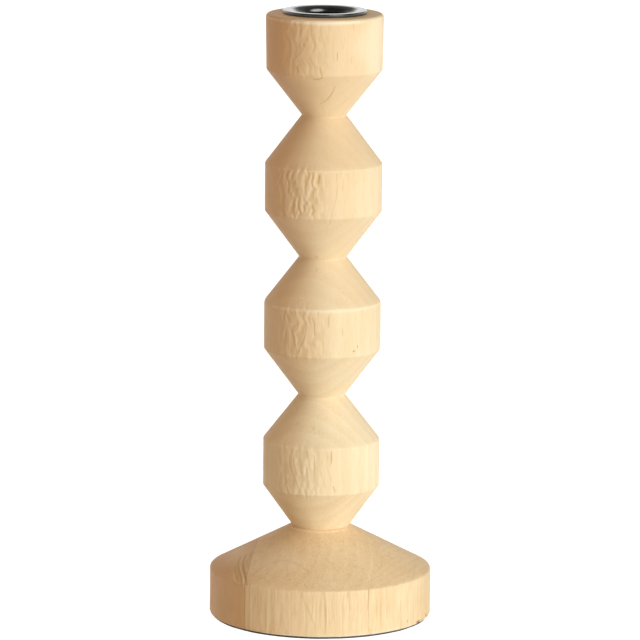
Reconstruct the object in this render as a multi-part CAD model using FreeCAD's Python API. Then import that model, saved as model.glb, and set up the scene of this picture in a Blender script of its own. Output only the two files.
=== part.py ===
import FreeCAD, Part
import math
import os

from FreeCAD import Vector

# Turned wooden candle stand for one taper candle.
# A single turned spindle of faceted beads stands in a glued-up round base.
# A drawn steel cup drops into a socket in the spindle's head.
# Millimetres, +Z up. The origin is the centre of the felt pad's underside.

# Felt pad
pad_thickness = 0.9
pad_inset = 0.9          # how far the felt stays inside the base's edge

# Base, from its underside up
base_dia = 88.5
rim_height = 18.2        # upright rim
base_cone_height = 17.4  # slope from the rim up to the stem
rim_top_arris = 1.2
rim_foot_chamfer = 0.6
core_width = 49.2        # middle board, between the two glue faces
glue_turn = 8.3          # degrees that the glue faces are turned about Z

# Stem, from its shoulder on the base up
foot_neck_dia = 22.8
low_lower_cone = 16.5
low_band = 18.7
low_upper_cone = 17.9
low_neck_dia = 18.5
middle_lower_cone = 18.7
middle_band = 18.9
middle_upper_cone = 17.9
middle_neck_dia = 18.8
high_lower_cone = 18.5
high_band = 19.0
high_upper_cone = 19.1
high_neck_dia = 17.5
head_cone = 18.1
head_band = 22.05
bead_dia = 46.3          # across the band of each bead
head_foot_dia = 45.7     # the head widens slightly up to its rim
head_rim_dia = 46.5
worn_arris = 2.6         # top edge of the middle bead, sanded rounder
head_rim_chamfer = 1.2   # sanded edge round the top

# Tenon of the stem and its mortise in the base
tenon_dia = 18.0
tenon_length = 16.0
tenon_chamfer = 1.0
glue_gap = 0.1           # radial room for glue
mortise_room = 1.0       # room for glue under the tenon

# Candle and its cup
candle_dia = 22.0
candle_gap = 0.45        # radial gap between the candle and the cup
cup_wall = 0.55
cup_depth = 20.0         # from the flange's top to the floor inside
cup_flange_dia = 33.1
cup_flange_height = 1.45  # turned-down edge of the flange, which stands on the wood
cup_bend = 3.2           # radius of the rounded mouth
cup_fit = 0.25           # radial gap between the cup and its socket
socket_room = 1.0        # gap under the cup's floor

# Fixing screw and washer
screw_dia = 4.5
screw_length = 38.0      # from under the head to the tip
screw_tip = 4.0
screw_head_dia = 9.0
screw_head_height = 2.8
screw_gap = 0.3          # radial room in the base's through hole
pilot_gap = 0.05         # radial room round the thread in the stem
pilot_room = 2.0         # pilot hole beyond the tip
washer_dia = 15.0
washer_thickness = 1.2
washer_gap = 0.35
counterbore_dia = 17.0
counterbore_depth = 8.0

overrun = 2.0            # how far a cutting block passes the wood
flat_turn = 45.0         # most degrees between the flats that a small rounded edge is turned in

# Levels above the felt's underside
base_foot = pad_thickness
rim_top = base_foot + rim_height
seat = rim_top + base_cone_height
counterbore_roof = base_foot + counterbore_depth
tenon_foot = seat - tenon_length
mortise_floor = tenon_foot - mortise_room
screw_seat = counterbore_roof - washer_thickness
screw_point = screw_seat + screw_length

base_radius = base_dia / 2
foot_neck_radius = foot_neck_dia / 2
bead_radius = bead_dia / 2
cup_inner_radius = candle_dia / 2 + candle_gap
cup_outer_radius = cup_inner_radius + cup_wall
socket_radius = cup_outer_radius + cup_fit
socket_chamfer = cup_bend - cup_flange_height  # keeps the socket's mouth clear of the cup's bend
screw_radius = screw_dia / 2


def corner(radius, height, arc=0, chamfer=0):
    """One corner of a half outline: sharp, rounded to that arc radius, or cut back by a chamfer."""
    return {"at": Vector(radius, 0, height), "arc": arc, "chamfer": chamfer}


def corner_points(before, here, after):
    """Points of the outline at one corner: the corner itself, a chamfer's two ends, or points along its arc.

    The cut is made smaller where the shorter side can't hold it.
    """
    at = here["at"]
    if not here["arc"] and not here["chamfer"]:
        return [at]
    back = before["at"] - at
    ahead = after["at"] - at
    shorter = min(back.Length, ahead.Length)
    back.normalize()
    ahead.normalize()
    if here["chamfer"]:
        reach = min(here["chamfer"], shorter / 2)
        return [at + back * reach, at + ahead * reach]
    half = back.getAngle(ahead) / 2
    reach = min(here["arc"] / math.tan(half), shorter / 2)
    radius = reach * math.tan(half)
    inward = back + ahead
    inward.normalize()
    middle = at + inward * (radius / math.sin(half) - radius)
    arc = Part.Arc(at + back * reach, middle, at + ahead * reach)
    flats = math.ceil((180 - math.degrees(half) * 2) / flat_turn)
    return arc.toShape().discretize(flats + 1)


def lathe(outline):
    """Solid turned about Z from a closed half outline of corners."""
    points = []
    for index, here in enumerate(outline):
        after = outline[(index + 1) % len(outline)]
        points += corner_points(outline[index - 1], here, after)
    profile = Part.Face(Part.makePolygon(points + points[:1]))
    return profile.revolve(Vector(0, 0, 0), Vector(0, 0, 1), 360)


def make_felt_pad():
    """Flat felt disc under the base."""
    return Part.makeCylinder(base_radius - pad_inset, pad_thickness)


def make_base():
    """The whole base as turned: rim, slope, mortise for the tenon and hole for the screw."""
    mortise_radius = tenon_dia / 2 + glue_gap
    hole_radius = screw_radius + screw_gap
    counterbore_radius = counterbore_dia / 2
    return lathe([
        corner(counterbore_radius, base_foot),
        corner(base_radius, base_foot, chamfer=rim_foot_chamfer),
        corner(base_radius, rim_top, arc=rim_top_arris),
        corner(foot_neck_radius, seat),
        corner(mortise_radius, seat),
        corner(mortise_radius, mortise_floor),
        corner(hole_radius, mortise_floor),
        corner(hole_radius, counterbore_roof),
        corner(counterbore_radius, counterbore_roof),
    ])


def make_base_blocks(base):
    """The glued boards that the base is turned from, parted at their two glue faces."""
    half_core = core_width / 2
    reach = base_radius + overrun
    height = seat + overrun
    spans = {
        "base_left_block": (-reach, -half_core),
        "base_centre_block": (-half_core, half_core),
        "base_right_block": (half_core, reach),
    }
    blocks = {}
    for name, (low, high) in spans.items():
        board = Part.makeBox(high - low, reach * 2, height, Vector(low, -reach, 0))
        board.rotate(Vector(0, 0, 0), Vector(0, 0, 1), -glue_turn)
        blocks[name] = base.common(board)
    return blocks


def bead_outline(foot, lower_cone, band, upper_cone, neck_dia, arris):
    """Half outline of one faceted bead, and the level of the neck above it."""
    band_foot = foot + lower_cone
    band_top = band_foot + band
    neck = band_top + upper_cone
    points = [
        corner(bead_radius, band_foot),
        corner(bead_radius, band_top, arc=arris),
        corner(neck_dia / 2, neck),
    ]
    return points, neck


def make_stem():
    """The turned spindle: tenon, three faceted beads, and a head bored for the cup."""
    beads = [
        (low_lower_cone, low_band, low_upper_cone, low_neck_dia, 0),
        (middle_lower_cone, middle_band, middle_upper_cone, middle_neck_dia, worn_arris),
        (high_lower_cone, high_band, high_upper_cone, high_neck_dia, 0),
    ]
    pilot_radius = screw_radius + pilot_gap
    tenon_radius = tenon_dia / 2
    outline = [
        corner(0, screw_point + pilot_room),
        corner(pilot_radius, screw_point - screw_tip + pilot_room),
        corner(pilot_radius, tenon_foot),
        corner(tenon_radius, tenon_foot, chamfer=tenon_chamfer),
        corner(tenon_radius, seat),
        corner(foot_neck_radius, seat),
    ]
    level = seat
    for bead in beads:
        points, level = bead_outline(level, *bead)
        outline += points
    head_foot = level + head_cone
    rim = head_foot + head_band
    cup_foot = rim + cup_flange_height - cup_depth - cup_wall
    socket_floor = cup_foot - socket_room
    outline += [
        corner(head_foot_dia / 2, head_foot),
        corner(head_rim_dia / 2, rim, chamfer=head_rim_chamfer),
        corner(socket_radius, rim, chamfer=socket_chamfer),
        corner(socket_radius, socket_floor),
        corner(0, socket_floor),
    ]
    return lathe(outline), rim


def make_candle_cup(rim):
    """Cup drawn from one steel sheet, with the flange's turned-down edge on the rim of the wood."""
    flange_top = rim + cup_flange_height
    flange_underside = flange_top - cup_wall
    floor_inside = flange_top - cup_depth
    flange_radius = cup_flange_dia / 2
    edge_inner_radius = flange_radius - cup_wall
    return lathe([
        corner(0, floor_inside),
        corner(cup_inner_radius, floor_inside),
        corner(cup_inner_radius, flange_top, arc=cup_bend),
        corner(flange_radius, flange_top),
        corner(flange_radius, rim),
        corner(edge_inner_radius, rim),
        corner(edge_inner_radius, flange_underside),
        corner(cup_outer_radius, flange_underside, arc=cup_bend - cup_wall),
        corner(cup_outer_radius, floor_inside - cup_wall),
        corner(0, floor_inside - cup_wall),
    ])


def make_stem_screw():
    """Pan-head wood screw, head down, that pulls the stem's shoulder onto the base."""
    head_foot = screw_seat - screw_head_height
    head_radius = screw_head_dia / 2
    return lathe([
        corner(0, head_foot),
        corner(head_radius, head_foot),
        corner(head_radius, screw_seat),
        corner(screw_radius, screw_seat),
        corner(screw_radius, screw_point - screw_tip),
        corner(0, screw_point),
    ])


def make_screw_washer():
    """Flat washer between the screw's head and the roof of the counterbore."""
    outer = Part.makeCylinder(washer_dia / 2, washer_thickness, Vector(0, 0, screw_seat))
    hole_radius = screw_radius + washer_gap
    hole = Part.makeCylinder(hole_radius, washer_thickness + overrun * 2, Vector(0, 0, screw_seat - overrun))
    return outer.cut(hole)


stem, stem_rim = make_stem()
parts = {
    "felt_pad": make_felt_pad(),
    "stem": stem,
    "candle_cup": make_candle_cup(stem_rim),
    "stem_screw": make_stem_screw(),
    "screw_washer": make_screw_washer(),
}
parts.update(make_base_blocks(make_base()))

os.makedirs("parts", exist_ok=True)
for node, shape in parts.items():
    if not shape.isValid() or shape.Volume <= 0:
        raise RuntimeError(node + " isn't a sound solid")
    shape.exportStep("parts/" + node + ".step")
    print(node, "solids", len(shape.Solids), "volume", round(shape.Volume, 1))
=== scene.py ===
import math

import bpy
import numpy as np
from bpy.props import FloatProperty, FloatVectorProperty, PointerProperty
from mathutils import Matrix, Vector


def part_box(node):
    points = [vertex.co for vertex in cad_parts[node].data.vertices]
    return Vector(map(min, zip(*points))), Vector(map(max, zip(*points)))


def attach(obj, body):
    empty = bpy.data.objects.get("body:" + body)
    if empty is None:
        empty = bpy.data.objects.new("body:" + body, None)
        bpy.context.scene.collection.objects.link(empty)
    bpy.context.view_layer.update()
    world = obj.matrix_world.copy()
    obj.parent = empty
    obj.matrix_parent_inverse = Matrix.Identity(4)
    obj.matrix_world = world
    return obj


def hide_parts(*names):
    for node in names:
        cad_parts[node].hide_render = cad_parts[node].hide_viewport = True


bl_info = {
    "name": "Turned Candle Stand",
    "version": (1, 0, 0),
    "blender": (4, 5, 0),
    "location": "View3D > Sidebar > Candle Stand",
    "description": "Dresses the packed candle stand: turned wood, black cup, screw, washer and felt",
    "category": "Add Mesh",
}

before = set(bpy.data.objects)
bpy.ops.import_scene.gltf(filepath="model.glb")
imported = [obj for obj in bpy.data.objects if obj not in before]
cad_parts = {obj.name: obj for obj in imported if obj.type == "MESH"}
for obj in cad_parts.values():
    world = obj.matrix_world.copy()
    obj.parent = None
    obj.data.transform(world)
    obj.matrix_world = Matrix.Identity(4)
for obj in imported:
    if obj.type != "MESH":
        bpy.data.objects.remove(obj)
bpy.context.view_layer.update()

STAND = "stand"
CUP = "cup"

base_low, base_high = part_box("base_centre_block")
stem_low, stem_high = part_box("stem")
cup_low, cup_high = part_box("candle_cup")
pad_low, pad_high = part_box("felt_pad")
screw_low, screw_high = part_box("stem_screw")
washer_low, washer_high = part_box("screw_washer")

# Lengths are in metres and angles in radians, unless a comment says otherwise.
FULL_TURN = 2 * math.pi
MM = 0.001
TINY = 1e-9
SHARP_ANGLE = math.radians(40)

# Rounded outlines
CRISP = 0.00015     # rounding of an edge that is left sharp
SIDE_SHARE = 0.49   # most of a side that a rounding takes up
ARC_SHARE = 0.5     # step along an arc, as a share of the outline's step
ARC_LEAST = 3       # fewest steps along an arc

# Steps along the outlines, columns round the axis and rows across a face
FINE_STEP = 0.00065
CONE_STEP = 0.0015
HIDDEN_STEP = 0.0040
STEM_COLUMNS = ((-180, -64, 40), (-64, 44, 140), (44, 112, 24), (112, 180, 40))  # turns are degrees
BASE_STEP = 0.0010
RIM_COLUMNS = 170
GLUED_COLUMNS = 110
SLOPE_ROWS = 60
UNDER_ROWS = 12
SIDE_COLUMNS = 240
SIDE_ROWS = 36
CUP_STEP = 0.0004
CUP_COLUMNS = 192
THREAD_STEP = 0.00022
THREAD_COLUMNS = 96
WASHER_STEP = 0.0008
WASHER_COLUMNS = 96
FELT_STEP = 0.0011
FELT_COLUMNS = 480

# Drawn lines in the wood
LINE_EASINGS = 2    # times that a line's corners are cut
LINE_END = 0.6      # half width at a line's ends, as a share of its widest

# Rippled figure on the stem. A fade is where something starts to show and where it shows in full.
FIGURE_TURN = math.radians(-25)
FIGURE_DARKNESS = 0.22
STROKE_WIDTH = 0.0011
STROKE_LENGTH = 0.0030
STROKE_CONTRAST = 3
STROKE_SEED = 12
SWAY = 0.8          # strokes that the sway moves them sideways
SWAY_WIDTH = 3      # strokes across one sway
SWAY_RATE = 2.1     # sways along one stroke
SWAY_SEED = 11
BAND_FADE = (0.0016, 0.0004)    # within the band's radius
FACE_FADE = (0.35, 0.95)        # cosine of twice the turn from the figured face
HOLLOW_FADE = (0.2, 0.95)       # depth of a hollow, as a share of the deepest
FACE_LEAST = 0.1    # relief on the plank's smooth faces, as a share of the figured faces' relief
HEAD_CALM = 0.45    # how much less the head is rippled
HEAD_FADE = (0.024, 0.021)      # below the top
LOW_CALM = 0.35     # the same for the low beads
LOW_FADE = (0.140, 0.150)       # height
# Painted light on the head's top face: how far it is paled towards the painted light's colour
TOP_FACE_PAINTED_LIGHT = 0.15

# Streaks on the base's rim and mottling on its slope
STREAK_WIDTH = 0.0009
STREAK_LENGTH = 0.0110
STREAK_SEED = 21
STREAK_MEAN = 0.6       # mean strength of the streaks
STREAK_CHANGE = 0.4     # most that the strength changes from place to place
CHANGE_WIDTH = 5        # streaks across one change of strength
CHANGE_RATE = 0.7       # changes along one streak
CHANGE_SEED = 24
RIM_DARKNESS = 0.32
RIM_FADE = (0.0005, 0.00005)    # within the rim's radius
MOTTLE_SIZE = 0.0010
MOTTLE_CELLS = 120
MOTTLES = ((1.0, 0.8, 0.6, 22), (2.3, 1.7, 0.5, 23))    # cells over X and over Y, strength, seed
MOTTLE_DARKNESS = 0.16
SLOPE_FADE = (0.001, 0.002)     # within the rim's radius
NECK_FADE = 0.001       # outside the neck's radius
BASE_HOLLOW_FADE = (0.1, 0.8)
RIM_INNER = 0.9         # radius that the rim's outline is drawn in to, as a share of its own
RIM_TOP_ROWS = 1.2      # how far in its rows are kept at the top, as a multiple of the rounding there
RIM_FOOT_ROWS = 1.5     # the same at the foot

# Shares and slopes of the small metal parts
FLANGE_ROUND = 0.6      # rounding of the flange's outer edge, as a share of the wall
PAN_ROUND = 0.45        # rounding of the screw's head, as a share of its height
THREAD_SLOPE = 2.6      # fall of the crest in half a pitch, as a multiple of the thread's depth
TIP_START = 0.2         # where the thread starts to end, as a share of the tip
RECESS_FLARE = 1.5      # half width of a recess arm at its mouth, as a multiple of that at its floor
RECESS_END = 0.7        # where an arm starts to end, as a share of its reach

# Felt. Its edge wanders and is fuzzy, and its faces have a nap. Cells are counted all round.
FELT_ROUND = 0.3        # rounding of its edges, as a share of its thickness
FELT_EDGE = 0.002       # how far in from its edge the nap starts
WANDER_DEPTH, WANDER_CELLS, WANDER_SEED = 0.00012, 60, 31
FUZZ_DEPTH, FUZZ_CELLS, FUZZ_HEIGHT, FUZZ_SEED = 0.00008, 480, 0.0002, 32
NAP_DEPTH, NAP_CELLS, NAP_LENGTH, NAP_SEED = 0.00004, 240, 0.0011, 33

# Finishes. A scale is the cells in a metre along X, Y and Z, a bump its strength and depth, and a
# roughness the least and what the pattern adds.
BEND_SCALE = (70, 70, 22)
DRIFT_SCALE = (55, 55, 18)
VESSEL_SCALE = (1.7, 1.7, 2.0)  # vessels to a fibre
VESSEL_PLACE = (17, 31, 5)
LATE_WOOD = 1.3     # slope of a growth ring's darkening
NOISE_MEAN = 0.5
NOISE_MIDDLE = (0.3, 0.7)
VESSEL_EDGE = (0.64, 0.72)
RING_TONE = 0.18
DRIFT_TONE = 0.30
PORE_TONE = 0.12
HEAD_TONE = (0.04, 0.24)        # heights from which and to which the wood turns to the head's colour
# Painted warm shade toward the left side, which on the base's left block also gives its redder wood
LEFT_SHADE_AND_RED_X = (-0.002, -0.017)     # X from which and to which it reddens
VEIN_GAIN = 1.5
DARK_VEIN = (0.4, 1.0)
FIBRE_HEIGHT = 0.5
WOOD_GLOSS = 0.4
WOOD_ROUGHNESS = (0.46, 0.12)
WOOD_BUMP = (0.5, 0.00006)
CRYSTAL_SCALE = (700, 700, 700)
CRYSTAL_EDGE = (0.35, 0.65)
CRYSTAL_SHADE = 0.82
SCRATCH_SCALE = (4000, 4000, 500)
ZINC_ROUGHNESS = (0.22, 0.2)
ZINC_BUMP = (0.2, 0.00003)
CLOUD_SCALE = (260, 260, 260)
CLOUD_EDGE = (0.4, 0.8)
CLOUD_SHADE = 2.2
PEEL_SCALE = (900, 900, 900)
ENAMEL_ROUGHNESS = (0.16, 0.14)
ENAMEL_BUMP = (0.15, 0.00002)
COAT_ROUGHNESS = 0.16
FELT_FIBRE_SCALE = (3200, 3200, 3200)
FELT_PATCH_SCALE = (260, 260, 260)
FELT_TONE = (0.12, 0.42)
FELT_SHADES = (0.6, 1.7)
FELT_ROUGHNESS = (-1.6, 0.9)    # fibre noise that would give 0 and 1
FELT_BUMP = (0.7, 0.0002)
FILM_EDGE = 0.8     # where the film shows in full, as a share of its thickness

# Stage. An edge is the parts of a direction, or its cosine with one, between which something fades.
SENSOR_WIDTH = 36   # millimetres
CLIP_START = 0.05
CLIP_END = 50
FLOOR_GAP = 0.00005
CEILING_EDGE = (0.25, 0.5)
BEHIND_EDGE = (-0.3, 0.3)
WINDOW_EDGE = (0.88, 0.97)
SKY_EDGE = (-0.5, 0.7)

# Lines and patches in the stem's wood, and at the end a line of painted shade round its foot: darkness,
# half width and depth, then the turn and the height of each point of the line. Degrees and millimetres.
STEM_VEINS_AND_SHADE = (
    (0.6, 0.55, 0.10, ((-4.5, 223.5), (-3.5, 221.3), (-2.0, 219.5))),
    (0.6, 0.60, 0.08, ((-2.0, 219.2), (-5.8, 218.6), (-11.2, 218.6))),
    (0.45, 0.4, 0.08, ((-15.0, 227.6), (-11.8, 224.3), (-5.5, 222.8))),
    (0.5, 0.45, 0.08, ((-20.5, 232.5), (-21.2, 231.4), (-24.0, 228.8), (-31.8, 225.8), (-34.0, 223.9))),
    (0.75, 0.5, 0.06, ((-21.2, 232.5), (-19.8, 231.4))),
    (0.3, 0.4, 0.07, ((-22.0, 227.6), (-16.8, 224.3), (-13.5, 223.2))),
    (0.3, 0.4, 0.07, ((-27.2, 225.8), (-20.8, 221.7), (-18.0, 219.5))),
    (0.4, 0.4, 0.07, ((-32.2, 225.4), (-28.8, 222.8), (-25.8, 220.9))),
    (0.15, 0.4, 0.07, ((-27.2, 234.7), (-24.5, 231.0))),
    (0.25, 0.45, 0.07, ((-14.3, 235.5), (-9.5, 232.1), (-11.8, 229.5))),
    (0.3, 0.4, 0.07, ((-4.8, 238.5), (-2.8, 234.7), (0.2, 231.0))),
    (0.1, 0.4, 0.06, ((0.2, 237.0), (1.8, 233.3))),
    (0.2, 0.35, 0.07, ((9.2, 236.2), (7.0, 230.3), (9.0, 225.4))),
    (0.1, 0.4, 0.05, ((14.8, 234.7), (17.8, 230.3))),
    (0.7, 0.28, 0.05, ((12.5, 229.1), (12.5, 226.5))),
    (0.2, 0.4, 0.07, ((-0.8, 226.2), (5.2, 222.4))),
    (0.5, 0.3, 0.04, ((28.0, 240.4), (29.0, 238.1))),
    (0.3, 0.6, 0.03, ((24.5, 217.7), (27.2, 217.3))),
    (0.5, 0.50, 0.09, ((12.0, 215.8), (11.0, 213.4), (8.0, 211.2), (3.0, 209.4), (-8.2, 207.5))),
    (0.2, 0.3, 0.04, ((27.8, 207.5), (37.5, 209.7))),
    (0.2, 0.3, 0.05, ((-4.0, 206.9), (-0.8, 203.8))),
    (0.12, 8.0, 0, ((-24.0, 236.0), (-14.0, 226.0))),
    (0.10, 6.0, 0, ((-30.0, 216.0), (0.0, 210.0))),
    (0.35, 0.3, 0.05, ((13.0, 182.0), (13.8, 175.2), (11.2, 169.4), (7.3, 164.9), (7.0, 161.7))),
    (0.75, 0.5, 0.12, ((-4.0, 181.3), (-5.2, 177.4))),
    (0.35, 0.4, 0.08, ((-5.2, 177.1), (-7.5, 174.2), (-8.2, 169.7))),
    (0.4, 0.25, 0.03, ((18.8, 177.1), (18.8, 174.9))),
    (0.15, 0.35, 0.03, ((23.8, 181.0), (27.2, 177.8))),
    (0.45, 0.4, 0.10, ((-40.0, 181.6), (-37.2, 178.4), (-36.8, 176.2))),
    (0.3, 0.4, 0.08, ((-37.2, 181.3), (-28.8, 181.6), (-31.5, 179.1))),
    (0.5, 0.4, 0.10, ((-28.8, 178.7), (-28.0, 176.2))),
    (0.35, 0.4, 0.10, ((-36.2, 177.4), (-31.3, 173.6), (-34.0, 171.3))),
    (0.15, 0.4, 0.07, ((-25.5, 181.6), (-24.8, 177.8))),
    (0.3, 0.4, 0.10, ((-17.8, 180.3), (-18.2, 173.9), (-17.2, 172.9))),
    (0.3, 0.4, 0.09, ((-28.8, 173.6), (-25.2, 172.0), (-28.5, 170.7))),
    (0.35, 0.4, 0.12, ((-33.0, 169.7), (-30.8, 166.8), (-35.5, 164.9))),
    (0.35, 0.4, 0.12, ((-29.8, 169.4), (-26.0, 166.8), (-28.2, 163.9))),
    (0.35, 0.4, 0.12, ((-17.0, 170.0), (-12.8, 167.1), (-18.5, 164.2))),
    (0.35, 0.4, 0.10, ((-11.2, 169.4), (-9.8, 165.5))),
    (0.15, 0.4, 0.05, ((5.8, 161.7), (2.2, 158.6))),
    (0.3, 0.6, 0.03, ((-20.0, 146.7), (-3.7, 145.7))),
    (0.55, 0.38, 0.11, ((-34.0, 120.5), (-30.2, 116.9), (-26.8, 113.1), (-25.8, 109.6))),
    (0.45, 0.4, 0.11, ((-15.8, 120.8), (-17.2, 116.3), (-20.5, 113.4), (-25.0, 109.6))),
    (0.6, 0.4, 0.08, ((-25.2, 123.0), (-24.5, 120.8))),
    (0.4, 0.4, 0.07, ((-38.5, 126.2), (-36.0, 123.4))),
    (0.35, 0.4, 0.07, ((-32.5, 125.9), (-30.5, 124.6))),
    (0.55, 0.45, 0.08, ((-10.8, 124.6), (-7.8, 122.7), (-7.5, 117.3))),
    (0.3, 0.7, 0.03, ((6.2, 125.3), (5.8, 121.1))),
    (0.45, 0.26, 0.04, ((19.5, 120.8), (20.2, 117.3))),
    (0.85, 0.35, 0.06, ((31.8, 110.5), (34.5, 110.9))),
    (0.7, 0.25, 0.05, ((37.0, 112.8), (37.2, 111.5))),
    (0.25, 0.4, 0.08, ((-13.0, 114.4), (-9.0, 110.2))),
    (0.25, 0.3, 0.06, ((0.8, 119.2), (0.8, 110.5))),
    (0.2, 0.4, 0.08, ((-41.2, 115.3), (-39.8, 108.9))),
    (0.3, 0.4, 0.08, ((-34.8, 113.4), (-34.2, 109.3))),
    (0.35, 0.4, 0.04, ((-14.0, 142.1), (-10.0, 141.2))),
    (0.25, 0.4, 0.04, ((-28.5, 130.5), (-25.8, 129.6))),
    (0.25, 0.4, 0.10, ((-38.2, 66.0), (-38.8, 62.2), (-38.0, 58.1), (-34.5, 57.1))),
    (0.3, 0.4, 0.11, ((-32.8, 68.5), (-33.5, 64.4), (-28.8, 60.6), (-29.0, 57.1))),
    (0.35, 0.4, 0.12, ((-26.3, 70.7), (-29.2, 66.6), (-26.0, 62.8), (-22.0, 58.4))),
    (0.3, 0.4, 0.12, ((-22.5, 71.4), (-23.0, 66.9), (-19.5, 62.8), (-19.5, 58.1))),
    (0.25, 0.4, 0.11, ((-16.0, 71.7), (-12.2, 67.3), (-10.5, 60.9))),
    (0.4, 0.38, 0.11, ((-7.3, 69.8), (-6.5, 65.4), (-7.5, 58.7))),
    (0.2, 0.4, 0.09, ((-1.5, 63.1), (2.0, 59.3), (4.2, 56.2))),
    (0.15, 0.4, 0.08, ((3.7, 65.4), (8.8, 61.2), (10.2, 58.1))),
    (0.6, 0.4, 0.07, ((9.8, 70.7), (10.2, 66.3))),
    (0.25, 0.35, 0.06, ((5.0, 70.7), (6.5, 67.3))),
    (0.3, 0.35, 0.09, ((-37.8, 60.0), (-31.5, 55.2))),
    (0.3, 0.35, 0.09, ((-26.3, 58.7), (-20.5, 54.3))),
    (0.6, 0.3, 0.06, ((12.0, 56.8), (13.8, 54.6))),
    (0.3, 0.35, 0.07, ((-46.5, 57.1), (-44.5, 54.3))),
    (0.25, 0.35, 0.07, ((-17.0, 79.6), (-10.0, 79.0), (-1.0, 77.5))),
    (0.2, 0.35, 0.07, ((-37.0, 80.2), (-30.0, 79.9))),
    # Painted shade: a dark line round the stem's foot, just above the base
    (0.35, 0.9, 0, ((-90.0, 37.2), (-20.0, 37.2), (60.0, 37.2))),
)

# Painted highlights along edges and creases, and painted light where a side of the wood is lit, in the stem
# and in the base, as lines of the same kind
STEM_PAINTED_LIGHT = (
    (0.25, 1.2, 0, ((-95.0, 240.8), (0.0, 240.8), (95.0, 240.8))),
    (0.50, 1.5, 0, ((-34.0, 240.8), (5.0, 240.9), (36.0, 240.8))),
    # Painted light on the lit right side of the head and of the high bead's band
    (0.34, 18.0, 0, ((62.0, 239.0), (62.0, 224.0))),
    (0.12, 16.0, 0, ((55.0, 181.0), (55.0, 166.0))),
    (0.25, 1.3, 0, ((-58.0, 127.0), (10.0, 127.2), (80.0, 127.0))),
    (0.34, 1.3, 0, ((-8.0, 127.2), (25.0, 127.2), (58.0, 127.2))),
    (0.15, 0.6, 0, ((-60.0, 182.6), (0.0, 182.6), (60.0, 182.6))),
    (0.15, 0.6, 0, ((-60.0, 71.7), (0.0, 71.7), (60.0, 71.7))),
)
# Painted highlights round the neck, along the foot and beside the left block's grooves, and painted light on
# the left of the slope
BASE_PAINTED_LIGHT = (
    (0.5, 0.8, 0, ((-70.0, 35.9), (0.0, 35.9), (60.0, 35.9))),
    (0.6, 0.5, 0, ((-30.0, 1.2), (20.0, 1.2), (70.0, 1.2))),
    (0.20, 14.0, 0, ((-80.0, 27.0), (-20.0, 27.0))),
    (0.32, 11.0, 0, ((-92.0, 25.0), (-58.0, 26.0))),
    (0.40, 0.7, 0, ((-69.2, 24.4), (-56.8, 22.6), (-49.2, 21.2), (-44.8, 20.0), (-42.5, 18.2))),
    (0.30, 1.1, 0, ((-69.0, 25.6), (-54.5, 23.5), (-50.3, 22.6))),
    (0.28, 0.5, 0, ((-67.2, 23.5), (-59.8, 22.3))),
    (0.28, 0.7, 0, ((-58.2, 21.2), (-50.3, 19.4), (-46.2, 19.1))),
)

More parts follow.
